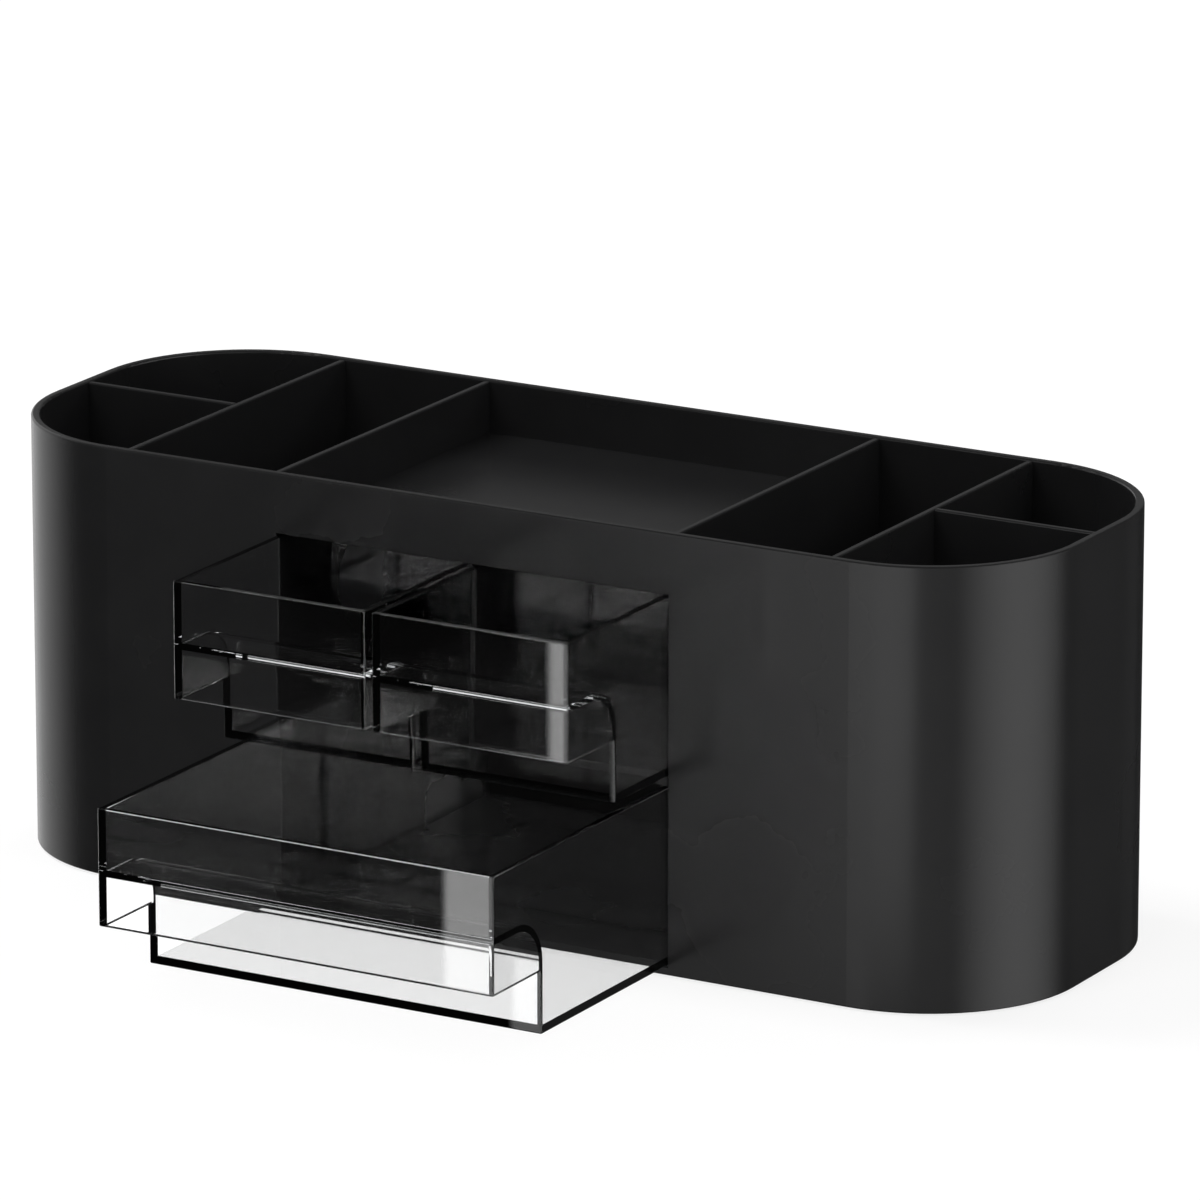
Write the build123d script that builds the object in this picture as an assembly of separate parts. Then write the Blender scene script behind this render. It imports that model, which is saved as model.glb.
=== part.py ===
from build123d import *
import os

# A desktop organizer: a black tub with rounded ends, upright compartments along its top, and a
# central bay that holds two small clear drawers above one wide clear drawer.
# Millimetres, +Z up, the front towards -Y. The origin is on the underside of the base, under the
# middle of the tub. The drawers stand pulled out, as they do on a desk in use.

# Tub
body_width = 365.0
body_depth = 133.0
body_height = 140.0
corner_radius = 51.0
shell_wall = 2.8
rim_round = 0.7
foot_edge_round = 0.5
opening_round = 0.4

# How near an edge lies to the place where it is looked for
edge_tolerance = 0.05

# Base and its seat in the foot of the wall
base_thickness = 2.5
base_rebate = 1.2
base_clearance = 0.1

# Panels inside the tub
bay_width = 139.0
bay_wall_thickness = 2.2
deck_thickness = 2.2
shelf_thickness = 2.7
drawer_partition_thickness = 1.8
panel_edge_round = 0.4
partition_thickness = 2.2
partition_drop = 0.4
partition_edge_round = 0.6
end_compartment_length = 55.2
cross_partition_offset = 0.0
tray_depth = 17.2

# Grooves that seat one panel in another
groove_depth = 0.8
groove_clearance = 0.05

# Clear drawers
drawer_wall = 2.2
drawer_floor = 2.4
drawer_lift = 0.35
drawer_headroom = 0.35
drawer_side_gap = 0.3
drawer_rear_gap = 0.7
finger_depth = 28.3
ledge_drop = 19.6
ledge_bend_radius = 15.2
lip_overhang = 2.5
drawer_edge_round = 0.35
upper_pull = 60.0
lower_pull = 104.0

# Anti-slip pads
foot_radius = 7.0
foot_thickness = 1.8
foot_proud = 0.6
foot_pocket_clearance = 0.1
foot_inset_x = 72.5
foot_inset_y = 18.0
foot_edge_bevel = 0.3

# Cuts run past the faces that they open
overrun = 1.0

# Levels and faces that the pieces share
front_face = -body_depth / 2
front_inner = front_face + shell_wall
rear_inner = -front_inner
end_inner = body_width / 2 - shell_wall
bay_half = bay_width / 2
bay_floor = base_thickness
deck_top = body_height - tray_depth
bay_ceiling = deck_top - deck_thickness
drawer_cell_height = (bay_ceiling - bay_floor - shelf_thickness) / 2
shelf_bottom = bay_floor + drawer_cell_height
shelf_top = shelf_bottom + shelf_thickness
wall_foot = bay_floor - groove_depth
partition_top = body_height - partition_drop
tongue_reach = groove_depth - groove_clearance

# Front-to-back walls, left to right: the centre and thickness of each
bay_wall_center = bay_half + bay_wall_thickness / 2
partition_center = end_inner - end_compartment_length
lengthwise_walls = {
    "left_partition": (-partition_center, partition_thickness),
    "bay_left_wall": (-bay_wall_center, bay_wall_thickness),
    "bay_right_wall": (bay_wall_center, bay_wall_thickness),
    "right_partition": (partition_center, partition_thickness),
}

# Sizes of the drawers, from the bay that they run in
drawer_height = drawer_cell_height - drawer_lift - drawer_headroom
drawer_length = rear_inner - drawer_rear_gap - front_face
lower_drawer_width = bay_width - 2 * drawer_side_gap
upper_cell_width = (bay_width - drawer_partition_thickness) / 2
upper_drawer_width = upper_cell_width - 2 * drawer_side_gap
upper_cell_center = (upper_cell_width + drawer_partition_thickness) / 2


def block(x_low, x_high, y_low, y_high, z_low, z_high):
    """A box between two opposite corners."""
    size = (x_high - x_low, y_high - y_low, z_high - z_low)
    return Pos(x_low, y_low, z_low) * Box(*size, align=(Align.MIN, Align.MIN, Align.MIN))


def column(inset, z_low, z_high):
    """An upright solid with the tub's outline, drawn in by the inset."""
    outline = RectangleRounded(body_width - 2 * inset, body_depth - 2 * inset, corner_radius - inset)
    return Pos(0, 0, z_low) * extrude(outline, amount=z_high - z_low)


def side_slab(points, x_low, x_high, bend_at=None, bend_radius=0):
    """A solid with the given front-to-back outline, run across the width."""
    outline = make_face(Polyline(*points, close=True))
    if bend_at is not None:
        corner = outline.vertices().sort_by_distance(bend_at)[0]
        outline = fillet(corner, bend_radius)
    return extrude(Plane.YZ.offset(x_low) * outline, amount=x_high - x_low)


# Outer shell

def on_opening(edge):
    """True for the front edges of the drawer opening."""
    middle = edge.center()
    beside = abs(middle.X) < bay_half + edge_tolerance
    between = bay_floor - edge_tolerance < middle.Z < bay_ceiling + edge_tolerance
    return beside and between and abs(middle.Y - front_face) < edge_tolerance


def make_outer_shell():
    outer = column(0, 0, body_height)
    outer = fillet(outer.edges().group_by(Axis.Z)[0], foot_edge_round)
    hollow = column(shell_wall, -overrun, body_height + overrun)
    seat = column(shell_wall - base_rebate, -overrun, base_thickness)
    opening = block(-bay_half, bay_half, front_face - overrun, front_inner + overrun, bay_floor, bay_ceiling)
    shell = outer - hollow - seat - opening
    shell = fillet(shell.edges().group_by(Axis.Z)[-1], rim_round)
    return fillet(shell.edges().filter_by(on_opening), opening_round)


# Base with the pockets for its pads

def foot_places():
    """The name and centre of each pad."""
    places = {}
    for row_name, y_side in (("front", -1), ("rear", 1)):
        for side_name, x_side in (("left", -1), ("right", 1)):
            x = x_side * (body_width / 2 - foot_inset_x)
            y = y_side * (body_depth / 2 - foot_inset_y)
            places[f"foot_{row_name}_{side_name}"] = (x, y)
    return places


def lengthwise_slab(x_center, thickness, inset, z_low, z_high):
    """A front-to-back slab, trimmed to the tub's outline drawn in by the inset."""
    half = thickness / 2
    slab = block(x_center - half, x_center + half, front_face, -front_face, z_low, z_high)
    return slab & column(inset, z_low, z_high)


def crosswise_slab(side, thickness, inset, z_low, z_high):
    """A slab from a side partition out to the end of the tub, trimmed in the same way."""
    x_low, x_high = sorted((side * (partition_center + partition_thickness / 2), side * body_width / 2))
    y_low = cross_partition_offset - thickness / 2
    y_high = cross_partition_offset + thickness / 2
    return block(x_low, x_high, y_low, y_high, z_low, z_high) & column(inset, z_low, z_high)


def make_base_panel():
    base = column(shell_wall - base_rebate + base_clearance, 0, base_thickness)
    groove_inset = shell_wall - groove_clearance
    groove_top = base_thickness + overrun
    for x_center, thickness in lengthwise_walls.values():
        groove_width = thickness + 2 * groove_clearance
        base -= lengthwise_slab(x_center, groove_width, groove_inset, wall_foot, groove_top)
    for side in (-1, 1):
        groove_width = partition_thickness + 2 * groove_clearance
        base -= crosswise_slab(side, groove_width, groove_inset, wall_foot, groove_top)
    pocket_depth = foot_thickness - foot_proud
    for x, y in foot_places().values():
        pocket = Cylinder(
            foot_radius + foot_pocket_clearance,
            pocket_depth + overrun,
            align=(Align.CENTER, Align.CENTER, Align.MIN),
        )
        base -= Pos(x, y, -overrun) * pocket
    return base


def make_foot(x, y):
    pad = Cylinder(foot_radius, foot_thickness, align=(Align.CENTER, Align.CENTER, Align.MIN))
    pad = chamfer(pad.edges().group_by(Axis.Z)[0], foot_edge_bevel)
    return Pos(x, y, -foot_proud) * pad


# Upright walls and dividers

def make_lengthwise_wall(x_center, thickness):
    """A wall from the front of the tub to its back, with a rounded top edge."""
    wall = lengthwise_slab(x_center, thickness, shell_wall, wall_foot, partition_top)
    top_edges = wall.edges().group_by(Axis.Z)[-1].filter_by(Axis.Y)
    return fillet(top_edges, partition_edge_round)


def panel_groove(z_low, z_high):
    """The cut in both bay walls that the side edges of a level panel slide into."""
    reach = bay_half + groove_depth
    return block(
        -reach,
        reach,
        front_inner - overrun,
        rear_inner + overrun,
        z_low - groove_clearance,
        z_high + groove_clearance,
    )


def make_bay_wall(name):
    wall = make_lengthwise_wall(*lengthwise_walls[name])
    wall -= panel_groove(shelf_bottom, shelf_top)
    return wall - panel_groove(bay_ceiling, deck_top)


def make_cross_partition(side):
    """The divider from the side partition out to the end of the tub."""
    wall = crosswise_slab(side, partition_thickness, shell_wall, wall_foot, partition_top)
    top_edges = wall.edges().group_by(Axis.Z)[-1].filter_by(Axis.X)
    return fillet(top_edges, partition_edge_round)


# Level panels and the upright of the drawer bay

def upright_groove():
    """The cut in the shelf and the deck that holds the upright between the upper drawers."""
    half = drawer_partition_thickness / 2 + groove_clearance
    return block(
        -half,
        half,
        front_inner - groove_clearance,
        rear_inner + overrun,
        shelf_top - groove_depth,
        bay_ceiling + groove_depth,
    )


def make_tray_deck():
    reach = bay_half + tongue_reach
    deck = block(-reach, reach, front_inner, rear_inner, bay_ceiling, deck_top)
    return deck - upright_groove()


def make_mid_shelf():
    reach = bay_half + tongue_reach
    shelf = block(-bay_half, bay_half, front_face, rear_inner, shelf_bottom, shelf_top)
    front_edges = shelf.edges().group_by(Axis.Y)[0].filter_by(Axis.X)
    shelf = fillet(front_edges, panel_edge_round)
    shelf += block(-reach, reach, front_inner, rear_inner, shelf_bottom, shelf_top)
    return shelf - upright_groove()


def make_drawer_partition():
    half = drawer_partition_thickness / 2
    upright = block(-half, half, front_face, rear_inner, shelf_top, bay_ceiling)
    front_edges = upright.edges().group_by(Axis.Y)[0].filter_by(Axis.Z)
    upright = fillet(front_edges, panel_edge_round)
    tongue_low = shelf_top - tongue_reach
    tongue_high = bay_ceiling + tongue_reach
    return upright + block(-half, half, front_inner, rear_inner, tongue_low, tongue_high)


# Drawers

def make_drawer(width, x_center, z_bottom, pull):
    """One clear moulding: a box whose tall front plate hangs ahead of its recessed lower front."""
    top = drawer_height
    ledge = drawer_height - ledge_drop
    lip = ledge - ledge_bend_radius - lip_overhang
    back_inner = drawer_length - drawer_wall
    recess_inner = finger_depth + drawer_wall
    half = width / 2
    half_inner = half - drawer_wall

    outside = [
        (0, lip),
        (0, top),
        (drawer_length, top),
        (drawer_length, 0),
        (finger_depth, 0),
        (finger_depth, lip),
    ]
    drawer = side_slab(outside, -half, half)
    corners = drawer.edges().filter_by(Axis.Z)
    bottom_edges = drawer.edges().group_by(Axis.Z)[0]
    drawer = fillet(corners + bottom_edges, drawer_edge_round)

    above = top + overrun
    cavity = [
        (drawer_wall, ledge),
        (drawer_wall, above),
        (back_inner, above),
        (back_inner, drawer_floor),
        (recess_inner, drawer_floor),
        (recess_inner, ledge),
    ]
    drawer -= side_slab(cavity, -half_inner, half_inner, (recess_inner, ledge), ledge_bend_radius)

    below = lip - overrun
    ledge_under = ledge - drawer_wall
    pocket = [
        (drawer_wall, below),
        (drawer_wall, ledge_under),
        (finger_depth, ledge_under),
        (finger_depth, below),
    ]
    pocket_bend = ledge_bend_radius - drawer_wall
    drawer -= side_slab(pocket, -half_inner, half_inner, (finger_depth, ledge_under), pocket_bend)

    drawer = fillet(drawer.edges().group_by(Axis.Z)[-1], drawer_edge_round)
    return Pos(x_center, front_face - pull, z_bottom) * drawer


nodes = {
    "outer_shell": make_outer_shell(),
    "base_panel": make_base_panel(),
    "bay_left_wall": make_bay_wall("bay_left_wall"),
    "bay_right_wall": make_bay_wall("bay_right_wall"),
    "left_partition": make_lengthwise_wall(*lengthwise_walls["left_partition"]),
    "right_partition": make_lengthwise_wall(*lengthwise_walls["right_partition"]),
    "left_cross_partition": make_cross_partition(-1),
    "right_cross_partition": make_cross_partition(1),
    "tray_deck": make_tray_deck(),
    "mid_shelf": make_mid_shelf(),
    "drawer_partition": make_drawer_partition(),
    "lower_drawer": make_drawer(lower_drawer_width, 0, bay_floor + drawer_lift, lower_pull),
}
for drawer_name, side in (("upper_left_drawer", -1), ("upper_right_drawer", 1)):
    place = side * upper_cell_center
    nodes[drawer_name] = make_drawer(upper_drawer_width, place, shelf_top + drawer_lift, upper_pull)
for foot_name, foot_center in foot_places().items():
    nodes[foot_name] = make_foot(*foot_center)

os.makedirs("parts", exist_ok=True)
for node_name, shape in nodes.items():
    export_step(shape, f"parts/{node_name}.step")
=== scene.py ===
import math

import bmesh
import bpy
from mathutils import Matrix, Vector


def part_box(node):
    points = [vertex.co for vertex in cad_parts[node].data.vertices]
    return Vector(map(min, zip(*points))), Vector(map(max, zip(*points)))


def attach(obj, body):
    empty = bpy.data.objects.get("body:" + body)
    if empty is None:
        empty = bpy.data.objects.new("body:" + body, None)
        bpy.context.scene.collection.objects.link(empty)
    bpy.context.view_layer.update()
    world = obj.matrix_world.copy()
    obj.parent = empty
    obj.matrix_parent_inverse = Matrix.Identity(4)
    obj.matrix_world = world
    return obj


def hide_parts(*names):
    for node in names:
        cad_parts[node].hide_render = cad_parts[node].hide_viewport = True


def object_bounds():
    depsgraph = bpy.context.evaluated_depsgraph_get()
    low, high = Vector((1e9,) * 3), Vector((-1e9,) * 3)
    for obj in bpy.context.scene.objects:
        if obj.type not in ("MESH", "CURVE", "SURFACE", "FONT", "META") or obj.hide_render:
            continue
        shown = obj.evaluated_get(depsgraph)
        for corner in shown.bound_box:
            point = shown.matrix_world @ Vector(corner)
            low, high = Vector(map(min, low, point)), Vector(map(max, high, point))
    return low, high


# A desktop organizer: a satin black tub with rounded ends and three clear drawers pulled out of it.
# Metres, +Z up, the front towards -Y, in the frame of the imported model.

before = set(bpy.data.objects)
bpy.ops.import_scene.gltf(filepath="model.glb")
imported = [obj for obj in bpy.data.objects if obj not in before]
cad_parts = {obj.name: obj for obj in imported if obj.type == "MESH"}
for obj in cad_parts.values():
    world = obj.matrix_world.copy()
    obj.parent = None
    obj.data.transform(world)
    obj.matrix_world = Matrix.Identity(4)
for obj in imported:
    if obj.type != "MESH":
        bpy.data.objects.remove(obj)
cad_low, cad_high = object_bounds()

# In the finishes, spots are a noise pattern's fineness in spots per metre and its detail, a relief is its
# strength and depth, and two colours or roughnesses are those of the pattern's dark and pale spots.
NOISE_RANGE = (0.3, 0.7)

# Satin black plastic
RIM_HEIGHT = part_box("outer_shell")[1].z
RIM_RUB_DEPTH = 0.0012
RIM_RUB_SPOTS = (160.0, 3.0)
BLACK_COLOURS = ((0.0096, 0.0096, 0.0099, 1.0), (0.0125, 0.0125, 0.0127, 1.0))
BLACK_MOTTLE_SPOTS = (45.0, 4.0)
BLACK_MOTTLE_SHARE = 0.5
BLACK_ROUGHNESS = (0.24, 0.28)
BLACK_SMUDGE_SPOTS = (14.0, 5.0)
BLACK_GRAIN_SPOTS = (3200.0, 2.0)
BLACK_GRAIN_RELIEF = (0.05, 0.00004)
BLACK_IOR = 1.5
BLACK_SPECULAR_LEVEL = 0.2

# Clear plastic
CLEAR_COLOUR = (1.0, 1.0, 1.0, 1.0)
CLEAR_ROUGHNESS = (0.0, 0.003)
CLEAR_SMUDGE_SPOTS = (22.0, 4.0)
CLEAR_SMUDGE_RANGE = (0.45, 0.8)
CLEAR_SWAY_SPOTS = (28.0, 1.0)
CLEAR_SWAY_RELIEF = (0.005, 0.0004)
CLEAR_IOR = 1.49
CLEAR_SMOKE_COLOUR = (0.45, 0.50, 0.52, 1.0)
CLEAR_SMOKE_DENSITY = 8.0

# Pad rubber
RUBBER_COLOURS = ((0.012, 0.012, 0.012, 1.0), (0.026, 0.026, 0.025, 1.0))
RUBBER_ROUGHNESS = (0.7, 0.88)
RUBBER_CRUMB_SPOTS = (1400.0, 3.0)
RUBBER_CRUMB_RELIEF = (0.3, 0.0001)

# Clear drawers
DRAWER_WALL = 0.0022
DRAWER_FLOOR = 0.0024
FINGER_DEPTH = 0.0283
LEDGE_DROP = 0.0196
LEDGE_BEND = 0.0152
LIP_OVERHANG = 0.0025
DRAWER_EDGE_ROUND = 0.00045
BEND_STEPS = 24

# Rubber pads
PAD_EDGE_ROUND = 0.0003
PAD_GROOVE_RADIUS = 0.0046
PAD_GROOVE_WIDTH = 0.0009
PAD_GROOVE_DEPTH = 0.0004
PAD_DIMPLE_RADIUS = 0.0012
PAD_DIMPLE_DEPTH = 0.0003
PAD_SPIN_STEPS = 64

# Shared by the modelled pieces
ROUND_STEPS = 3
FLAT_TURN = math.radians(1.0)
SHARP_TURN = math.radians(40.0)
UPRIGHT_RISE = 0.5
MERGE_REACH = 0.000001
FLAT_FACE_WEIGHT = 100

# Floor, room and fill light
FLOOR_SIZE = 12.0
FLOOR_PAINT = 0.8
FLOOR_GLOW_SHARE = 0.75
FLOOR_GLOW = 1.07
# A white floor is brighter than a picture can show, so it still looks pale past the clear plastic
FLOOR_GLOW_PAST_PLASTIC = 1.6
FILL_LIGHT = 0.45
# How bright the room around the soft boxes is in reflections, below and above the table top, and the rise
# of a direction within which the one turns into the other
ROOM_BELOW = 0.03
ROOM_ABOVE = 0.23
ROOM_TURN = 0.1
# A ray with fewer bounces than the first has none. One with more than the second has been turned inside the
# clear plastic so often that it comes out of an edge.
FIRST_BOUNCE = 0.5
EDGE_BOUNCES = 3.5

# Soft boxes that the plastic mirrors: the middle, the turn about Z in degrees, the width and height in
# metres, the shares of these that fade at either end, and the glow
SOFT_BOXES = {
    "front_softbox": ((-0.335, -1.2, 0.29), 0.0, (0.46, 1.6), (0.01, 0.1), 2.9),
    "near_softbox": ((0.16675, -0.37, 0.11), 0.0, (0.1845, 0.5), (0.03, 0.21), 2.9),
    "corner_softbox": ((1.05, -1.2, 0.0), 20.0, (1.1, 2.4), (0.1, 0.1), 0.85),
    "right_softbox": ((1.2, -0.08, 0.0), 90.0, (2.5, 2.4), (0.5, 0.1), 3.4),
    "left_softbox": ((-1.2, 0.475, 0.0), 90.0, (2.45, 2.4), (0.29, 0.1), 1.2),
    "back_softbox": ((0.8, 1.4, 0.0), 0.0, (1.4, 2.4), (0.3, 0.1), 0.1),
}
# A soft box is one metre wide and high before it is stretched
SOFT_BOX_HALF = 0.5

# Lamps: the place, the width and height in metres, and the power of each
LAMPS = {
    "left_lamp": ((-1.1, -0.1, 1.95), (0.7, 1.4), 30.0),
    "front_lamp": ((-0.3, -2.3, 1.7), (1.4, 1.0), 22.0),
    "right_lamp": ((2.1, -0.2, 1.4), (1.2, 1.0), 14.0),
    "back_lamp": ((0.25, 1.9, 1.3), (1.4, 0.6), 20.0),
}
LAMP_AIM = Vector((0.0, -0.04, 0.06))

# Camera: a long lens, from the front right and a little above the rim
CAMERA_PLACE = (1.492607, -2.582305, 0.944164)
CAMERA_TURN = math.radians(29.902)
CAMERA_TILT = math.radians(15.931)
CAMERA_LENS = 298.81
CAMERA_SENSOR = 36.0


# Shader nodes

def node(tree, kind, inputs=None, **settings):
    """Adds a shader node. An input given as another node's socket is linked, any other is set."""
    made = tree.nodes.new("ShaderNode" + kind)
    for name, value in settings.items():
        setattr(made, name, value)
    for name, value in (inputs or {}).items():
        if isinstance(value, bpy.types.NodeSocket):
            tree.links.new(value, made.inputs[name])
        else:
            made.inputs[name].default_value = value
    return made


def shader(tree, kind, inputs=None):
    """What a shader node gives, which is its first output."""
    return node(tree, kind, inputs).outputs[0]


def math_node(tree, operation, first, second):
    """The result of a sum, product or comparison of two values."""
    made = node(tree, "Math", {0: first, 1: second}, operation=operation)
    return made.outputs["Value"]


def spread(tree, value, given, wanted):
    """A value moved smoothly from the given range to the wanted one."""
    inputs = {
        "Value": value,
        "From Min": given[0],
        "From Max": given[1],
        "To Min": wanted[0],
        "To Max": wanted[1],
    }
    made = node(tree, "MapRange", inputs, interpolation_type="SMOOTHSTEP")
    return made.outputs["Result"]


def value_between(tree, share, first, second):
    """A value that goes from the first to the second as the share goes from 0 to 1."""
    return node(tree, "Mix", {"Factor": share, "A": first, "B": second}).outputs[0]


def colour_between(tree, share, colours):
    """A colour that goes from the first to the second as the share goes from 0 to 1."""
    first, second = colours
    made = node(tree, "Mix", {"Factor": share, "A": first, "B": second}, data_type="RGBA")
    return made.outputs[2]


def speckle(tree, place, spots):
    """Noise of the given fineness and detail."""
    fineness, detail = spots
    made = node(tree, "TexNoise", {"Vector": place, "Scale": fineness, "Detail": detail})
    return made.outputs["Fac"]


def raised(tree, pattern, relief):
    """The normal of a surface that a pattern raises a little."""
    strength, depth = relief
    made = node(tree, "Bump", {"Strength": strength, "Distance": depth, "Height": pattern})
    return made.outputs["Normal"]


def height_of(tree, place):
    """How high a place or direction is."""
    return node(tree, "SeparateXYZ", {"Vector": place}).outputs["Z"]


def new_material(name):
    """An empty node material, its tree and its output."""
    material = bpy.data.materials.new(name)
    material.use_nodes = True
    tree = material.node_tree
    tree.nodes.clear()
    return material, tree, node(tree, "OutputMaterial")


# Finishes

def satin_black_plastic():
    """The tub's moulded plastic: a fine spark-eroded grain, uneven gloss and a rubbed rim."""
    material, tree, output = new_material("satin_black_plastic")
    place = node(tree, "TexCoord").outputs["Object"]
    near_rim = (RIM_HEIGHT - RIM_RUB_DEPTH, RIM_HEIGHT)
    rubbed = spread(tree, height_of(tree, place), near_rim, (0.0, 1.0))
    rubbed = math_node(tree, "MULTIPLY", rubbed, speckle(tree, place, RIM_RUB_SPOTS))
    mottle = spread(tree, speckle(tree, place, BLACK_MOTTLE_SPOTS), NOISE_RANGE, (0.0, BLACK_MOTTLE_SHARE))
    tone = math_node(tree, "ADD", mottle, rubbed)
    smudge = speckle(tree, place, BLACK_SMUDGE_SPOTS)
    grain = speckle(tree, place, BLACK_GRAIN_SPOTS)
    surface = shader(
        tree,
        "BsdfPrincipled",
        {
            "Base Color": colour_between(tree, tone, BLACK_COLOURS),
            "Roughness": spread(tree, smudge, NOISE_RANGE, BLACK_ROUGHNESS),
            "Normal": raised(tree, grain, BLACK_GRAIN_RELIEF),
            "IOR": BLACK_IOR,
            "Specular IOR Level": BLACK_SPECULAR_LEVEL,
        },
    )
    tree.links.new(surface, output.inputs["Surface"])
    return material


def clear_plastic():
    """The drawers' clear moulding: slightly wavy, with a faint smoke in its depth."""
    material, tree, output = new_material("clear_plastic")
    place = node(tree, "TexCoord").outputs["Object"]
    smudge = speckle(tree, place, CLEAR_SMUDGE_SPOTS)
    sway = speckle(tree, place, CLEAR_SWAY_SPOTS)
    surface = shader(
        tree,
        "BsdfPrincipled",
        {
            "Base Color": CLEAR_COLOUR,
            "Roughness": spread(tree, smudge, CLEAR_SMUDGE_RANGE, CLEAR_ROUGHNESS),
            "Normal": raised(tree, sway, CLEAR_SWAY_RELIEF),
            "IOR": CLEAR_IOR,
            "Transmission Weight": 1.0,
        },
    )
    smoke = shader(tree, "VolumeAbsorption", {"Color": CLEAR_SMOKE_COLOUR, "Density": CLEAR_SMOKE_DENSITY})
    tree.links.new(surface, output.inputs["Surface"])
    tree.links.new(smoke, output.inputs["Volume"])
    return material


def pad_rubber():
    """The dull grey-black rubber of the pads."""
    material, tree, output = new_material("pad_rubber")
    place = node(tree, "TexCoord").outputs["Object"]
    crumb = speckle(tree, place, RUBBER_CRUMB_SPOTS)
    surface = shader(
        tree,
        "BsdfPrincipled",
        {
            "Base Color": colour_between(tree, crumb, RUBBER_COLOURS),
            "Roughness": spread(tree, crumb, NOISE_RANGE, RUBBER_ROUGHNESS),
            "Normal": raised(tree, crumb, RUBBER_CRUMB_RELIEF),
        },
    )
    tree.links.new(surface, output.inputs["Surface"])
    return material


def finish_nodes(finishes):
    """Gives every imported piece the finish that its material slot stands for."""
    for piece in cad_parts.values():
        for slot in piece.material_slots:
            slot.material = finishes[slot.material.name]


# What the modelled pieces share

def round_edges(shape, radius):
    """Rounds every outward edge, and keeps the inward ones crisp."""
    outward = [edge for edge in shape.edges if edge.is_convex and edge.calc_face_angle() > SHARP_TURN]
    bmesh.ops.bevel(
        shape, geom=outward, offset=radius, segments=ROUND_STEPS, profile=0.5, affect="EDGES", material=-1
    )
    for face in shape.faces:
        face.smooth = True
    for edge in shape.edges:
        edge.smooth = edge.calc_face_angle() < SHARP_TURN


def new_object(name, shape, material):
    """Makes an object of a finished shape, and puts it in the scene."""
    mesh = bpy.data.meshes.new(name)
    shape.to_mesh(mesh)
    shape.free()
    mesh.materials.append(material)
    made = bpy.data.objects.new(name, mesh)
    bpy.context.scene.collection.objects.link(made)
    return made


def add_piece(name, shape, place, finish):
    """Puts a finished shape in its place, as a piece of the object whose flat faces shade flat."""
    bmesh.ops.translate(shape, verts=shape.verts, vec=place)
    piece = new_object(name, shape, finish)
    shading = piece.modifiers.new("flat_faces", "WEIGHTED_NORMAL")
    shading.keep_sharp = True
    shading.weight = FLAT_FACE_WEIGHT
    shading.thresh = 0.0
    return piece


# Clear drawers

def verts_of(made):
    """The vertices among what an operator made."""
    return [item for item in made["geom"] if isinstance(item, bmesh.types.BMVert)]


def drawer_shape(low, high):
    """A drawer about its middle: its front-to-back section, drawn on one side wall and run to the other."""
    wall, deep = DRAWER_WALL, FINGER_DEPTH
    inner = (high.x - low.x) / 2 - wall
    length = high.y - low.y
    top = high.z - low.z
    ledge = top - LEDGE_DROP
    lip = ledge - LEDGE_BEND - LIP_OVERHANG
    shape = bmesh.new()

    def corner(y, z):
        return shape.verts.new((inner, y, z))

    plate_foot, plate_top = corner(0.0, lip), corner(0.0, top)
    rim_front, rim_back = corner(wall, top), corner(length - wall, top)
    ledge_front, ledge_back = corner(wall, ledge), corner(deep + wall, ledge)
    floor_front, floor_back = corner(deep + wall, DRAWER_FLOOR), corner(length - wall, DRAWER_FLOOR)
    back_top, back_foot = corner(length, top), corner(length, 0.0)
    recess_foot, recess_lip = corner(deep, 0.0), corner(deep, lip)
    under_front, under_back = corner(wall, ledge - wall), corner(deep, ledge - wall)
    lip_back = corner(wall, lip)

    inside = (rim_front, ledge_front, ledge_back, floor_front, floor_back, rim_back)
    beneath = (recess_lip, under_back, under_front, lip_back)
    cavity = shape.faces.new(inside)
    pocket = shape.faces.new(beneath)
    section = shape.faces.new((plate_foot, plate_top, *inside, back_top, back_foot, recess_foot, *beneath))

    side_wall = bmesh.ops.extrude_face_region(shape, geom=[cavity, pocket, section])
    bmesh.ops.translate(shape, verts=verts_of(side_wall), vec=(wall, 0.0, 0.0))
    outline = list(section.edges)
    bmesh.ops.delete(shape, geom=[section], context="FACES_ONLY")
    middle = bmesh.ops.extrude_edge_only(shape, edges=outline)
    bmesh.ops.translate(shape, verts=verts_of(middle), vec=(-inner, 0.0, 0.0))
    everything = shape.verts[:] + shape.edges[:] + shape.faces[:]
    bmesh.ops.mirror(shape, geom=everything, axis="X", merge_dist=MERGE_REACH)
    bmesh.ops.remove_doubles(shape, verts=shape.verts, dist=MERGE_REACH)
    bmesh.ops.recalc_face_normals(shape, faces=shape.faces)
    join_flat_faces(shape)
    bend_edge(shape, deep + wall, ledge, LEDGE_BEND)
    bend_edge(shape, deep, ledge - wall, LEDGE_BEND - wall)
    round_edges(shape, DRAWER_EDGE_ROUND)
    return shape


def join_flat_faces(shape):
    """Takes out the edges across the middle and across flat upright faces."""
    spare = []
    for edge in shape.edges:
        across_middle = all(abs(vert.co.x) < MERGE_REACH for vert in edge.verts)
        upright = abs(edge.link_faces[0].normal.z) < UPRIGHT_RISE
        if edge.calc_face_angle() < FLAT_TURN and (across_middle or upright):
            spare.append(edge)
    bmesh.ops.dissolve_edges(shape, edges=spare, use_verts=True)


def bend_edge(shape, y, z, radius):
    """Turns the crosswise edge at a place into a wide bend."""
    found = []
    for edge in shape.edges:
        if all(math.hypot(vert.co.y - y, vert.co.z - z) < MERGE_REACH for vert in edge.verts):
            found.append(edge)
    bmesh.ops.bevel(
        shape, geom=found, offset=radius, segments=BEND_STEPS, profile=0.5, affect="EDGES", material=-1
    )


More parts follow.
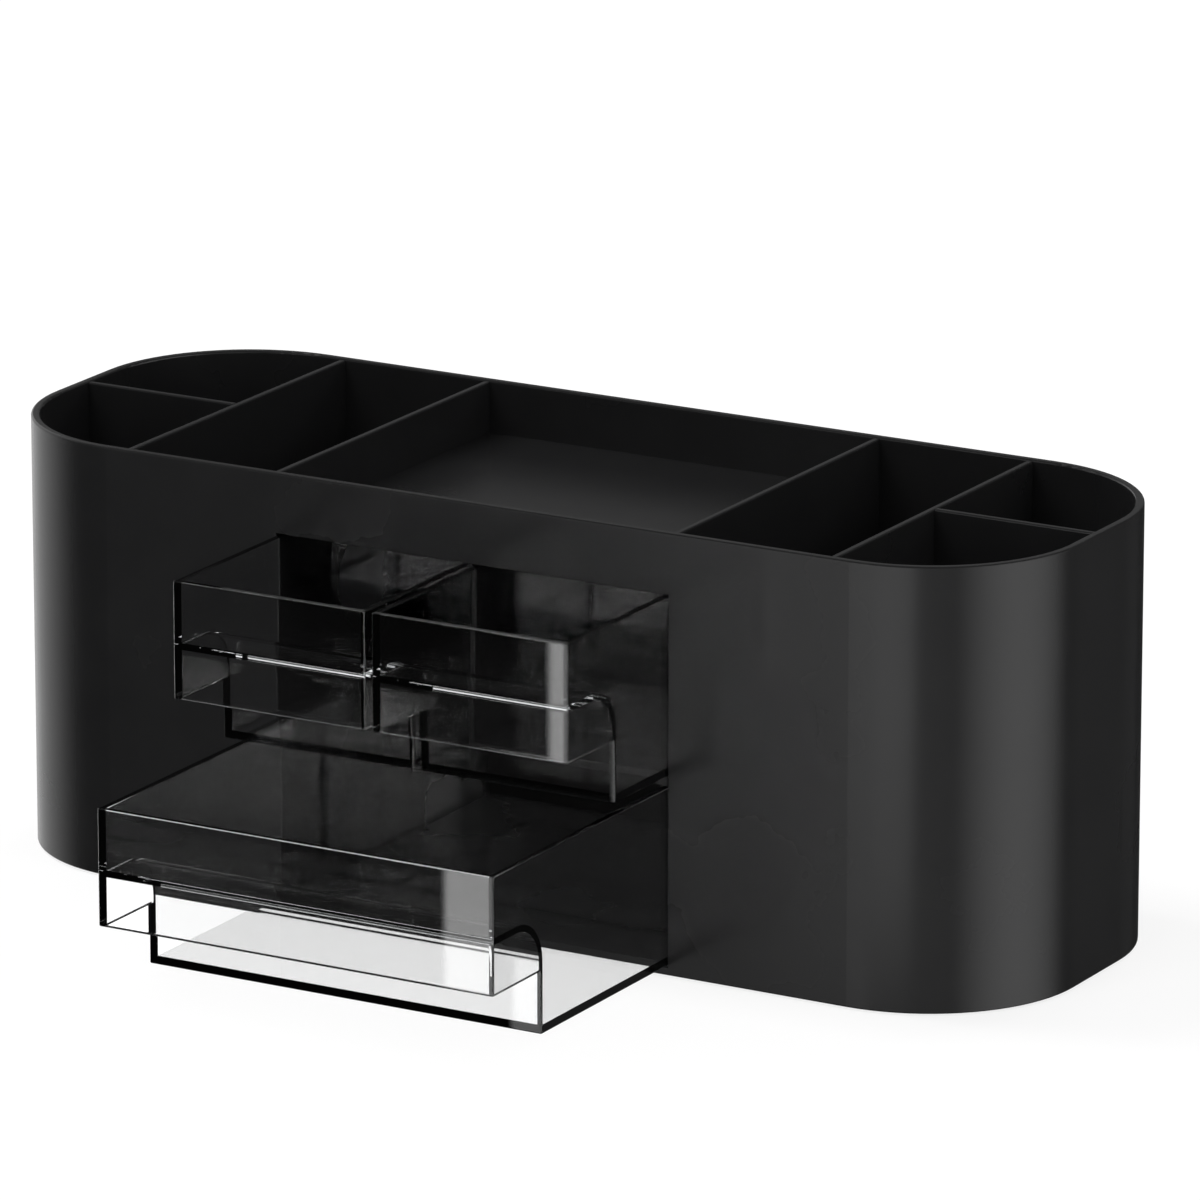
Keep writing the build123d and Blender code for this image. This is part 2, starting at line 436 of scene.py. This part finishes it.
def make_drawer(name, finish):
    """A clear moulding in the place of a packed drawer. It hardly shades, so the lamps shine past it."""
    low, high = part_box(name)
    shape = drawer_shape(low, high)
    place = ((low.x + high.x) / 2, low.y, low.z)
    piece = add_piece(name + "_moulding", shape, place, finish)
    piece.visible_shadow = False
    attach(piece, name)
    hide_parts(name)


# Rubber pads

def pad_shape(radius, thickness):
    """A round pad with a ring groove and a dimple pressed into its underside."""
    half_groove = PAD_GROOVE_WIDTH / 2
    outline = (
        (0.0, thickness),
        (radius, thickness),
        (radius, 0.0),
        (PAD_GROOVE_RADIUS + half_groove, 0.0),
        (PAD_GROOVE_RADIUS, PAD_GROOVE_DEPTH),
        (PAD_GROOVE_RADIUS - half_groove, 0.0),
        (PAD_DIMPLE_RADIUS, 0.0),
        (0.0, PAD_DIMPLE_DEPTH),
    )
    shape = bmesh.new()
    points = [shape.verts.new((out, 0.0, up)) for out, up in outline]
    edges = [shape.edges.new(ends) for ends in zip(points, points[1:])]
    bmesh.ops.spin(
        shape,
        geom=points + edges,
        cent=(0.0, 0.0, 0.0),
        axis=(0.0, 0.0, 1.0),
        angle=math.tau,
        steps=PAD_SPIN_STEPS,
        use_merge=True,
    )
    bmesh.ops.remove_doubles(shape, verts=shape.verts, dist=MERGE_REACH)
    bmesh.ops.recalc_face_normals(shape, faces=shape.faces)
    round_edges(shape, PAD_EDGE_ROUND)
    return shape


def make_pad(name, finish):
    """A pressed rubber pad in the place of a packed one."""
    low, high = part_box(name)
    shape = pad_shape((high.x - low.x) / 2, high.z - low.z)
    place = ((low.x + high.x) / 2, (low.y + high.y) / 2, low.z)
    piece = add_piece(name + "_pressing", shape, place, finish)
    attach(piece, "tub")
    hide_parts(name)


# Studio

def ray_kinds(tree):
    """Switches that are 1 for their own kind of ray and 0 for the others.

    past_plastic: sight straight past the clear plastic, or out of one of its edges
    seen: that, and sight by the eye
    mirrored: sight in a reflection
    spare_light: light on its way through the clear plastic to a dull surface, which has that light already
    """
    rays = node(tree, "LightPath").outputs
    sight = math_node(tree, "LESS_THAN", rays["Diffuse Depth"], FIRST_BOUNCE)
    straight = math_node(tree, "GREATER_THAN", rays["Is Transmission Ray"], rays["Glossy Depth"])
    out_of_plastic = math_node(tree, "MULTIPLY", rays["Is Transmission Ray"], rays["Is Singular Ray"])
    often_turned = math_node(tree, "GREATER_THAN", rays["Glossy Depth"], EDGE_BOUNCES)
    out_of_edge = math_node(tree, "MULTIPLY", out_of_plastic, often_turned)
    past_plastic = math_node(tree, "MULTIPLY", math_node(tree, "MAXIMUM", straight, out_of_edge), sight)
    return {
        "past_plastic": past_plastic,
        "seen": math_node(tree, "MAXIMUM", rays["Is Camera Ray"], past_plastic),
        "mirrored": math_node(tree, "MULTIPLY", rays["Is Glossy Ray"], sight),
        "spare_light": math_node(tree, "GREATER_THAN", rays["Is Transmission Ray"], sight),
    }


def make_world():
    """White to the eye and through the clear plastic, a dim room in reflections, an even fill elsewhere."""
    world = bpy.data.worlds.new("studio")
    bpy.context.scene.world = world
    world.use_nodes = True
    tree = world.node_tree
    tree.nodes.clear()
    rays = ray_kinds(tree)
    climb = height_of(tree, node(tree, "TexCoord").outputs["Generated"])
    room = spread(tree, climb, (-ROOM_TURN, ROOM_TURN), (ROOM_BELOW, ROOM_ABOVE))
    fill = value_between(tree, rays["spare_light"], FILL_LIGHT, 0.0)
    unseen = value_between(tree, rays["mirrored"], fill, room)
    strength = value_between(tree, rays["seen"], unseen, 1.0)
    background = shader(tree, "Background", {"Strength": strength})
    output = node(tree, "OutputWorld")
    tree.links.new(background, output.inputs["Surface"])


def floor_paint():
    """A pale floor that keeps a soft shadow. Reflections look through it, to the feet of the soft boxes."""
    material, tree, output = new_material("studio_floor")
    material.cycles.emission_sampling = "NONE"
    rays = ray_kinds(tree)
    paint = shader(tree, "BsdfDiffuse", {"Color": (FLOOR_PAINT, FLOOR_PAINT, FLOOR_PAINT, 1.0)})
    strength = value_between(tree, rays["past_plastic"], FLOOR_GLOW, FLOOR_GLOW_PAST_PLASTIC)
    glow = shader(tree, "Emission", {"Strength": strength})
    white = shader(tree, "MixShader", {0: FLOOR_GLOW_SHARE, 1: paint, 2: glow})
    gap = shader(tree, "BsdfTransparent")
    unseen = shader(tree, "MixShader", {0: rays["mirrored"], 1: paint, 2: gap})
    whole = shader(tree, "MixShader", {0: rays["seen"], 1: unseen, 2: white})
    tree.links.new(whole, output.inputs["Surface"])
    return material


def make_floor():
    """The floor, level with the lowest point of the pads."""
    shape = bmesh.new()
    bmesh.ops.create_grid(shape, x_segments=1, y_segments=1, size=FLOOR_SIZE / 2)
    bmesh.ops.translate(shape, verts=shape.verts, vec=(0.0, 0.0, cad_low.z))
    new_object("floor", shape, floor_paint())


def soft_box_glow(name, fades, glow):
    """A glow that fades towards the ends of the box, and that only reflections show."""
    material, tree, output = new_material(name)
    material.cycles.emission_sampling = "NONE"
    place = node(tree, "TexCoord").outputs["Object"]
    across = node(tree, "SeparateXYZ", {"Vector": place}).outputs
    strength = glow
    for axis, fade in zip("XZ", fades):
        out = math_node(tree, "ABSOLUTE", across[axis], 0.0)
        near_end = (SOFT_BOX_HALF - fade, SOFT_BOX_HALF)
        strength = math_node(tree, "MULTIPLY", spread(tree, out, near_end, (1.0, 0.0)), strength)
    rays = ray_kinds(tree)
    light = shader(tree, "Emission", {"Strength": strength})
    gap = shader(tree, "BsdfTransparent")
    unseen = shader(tree, "MixShader", {0: rays["mirrored"], 1: gap, 2: light})
    whole = shader(tree, "MixShader", {0: rays["seen"], 1: unseen, 2: gap})
    tree.links.new(whole, output.inputs["Surface"])
    return material


def make_soft_boxes():
    """Upright glowing panels around the object, which light nothing and show in reflections alone."""
    upright = Matrix.Rotation(math.pi / 2, 3, "X")
    for name, (place, turn, (width, height), fades, glow) in SOFT_BOXES.items():
        shape = bmesh.new()
        bmesh.ops.create_grid(shape, x_segments=1, y_segments=1, size=SOFT_BOX_HALF)
        bmesh.ops.rotate(shape, verts=shape.verts, cent=(0.0, 0.0, 0.0), matrix=upright)
        box = new_object(name, shape, soft_box_glow(name, fades, glow))
        box.location = place
        box.rotation_euler = (0.0, 0.0, math.radians(turn))
        box.scale = (width, 1.0, height)
        box.visible_camera = False
        box.visible_diffuse = False
        box.visible_shadow = False


def make_lamps():
    """Soft lamps on four sides, which reflections and clear plastic don't show."""
    for name, (place, size, power) in LAMPS.items():
        lamp = bpy.data.lights.new(name, "AREA")
        lamp.shape = "RECTANGLE"
        lamp.size, lamp.size_y = size
        lamp.energy = power
        stand = bpy.data.objects.new(name, lamp)
        stand.location = place
        stand.rotation_euler = (LAMP_AIM - Vector(place)).to_track_quat("-Z", "Y").to_euler()
        stand.visible_glossy = False
        stand.visible_transmission = False
        bpy.context.scene.collection.objects.link(stand)


def make_camera():
    """The camera at the photograph's viewing angle."""
    lens = bpy.data.cameras.new("photo_camera")
    lens.lens = CAMERA_LENS
    lens.sensor_width = CAMERA_SENSOR
    lens.clip_end = FLOOR_SIZE
    camera = bpy.data.objects.new("photo_camera", lens)
    camera.location = CAMERA_PLACE
    camera.rotation_euler = (math.pi / 2 - CAMERA_TILT, 0.0, CAMERA_TURN)
    bpy.context.scene.collection.objects.link(camera)
    bpy.context.scene.camera = camera


finishes = {
    "tub_plastic": satin_black_plastic(),
    "clear_plastic": clear_plastic(),
    "pad_rubber": pad_rubber(),
}
finish_nodes(finishes)
for drawer in ("upper_left_drawer", "upper_right_drawer", "lower_drawer"):
    make_drawer(drawer, finishes["clear_plastic"])
for pad in ("foot_front_left", "foot_front_right", "foot_rear_left", "foot_rear_right"):
    make_pad(pad, finishes["pad_rubber"])
make_floor()
make_world()
make_soft_boxes()
make_lamps()
make_camera()
bpy.context.scene.view_settings.view_transform = "Standard"
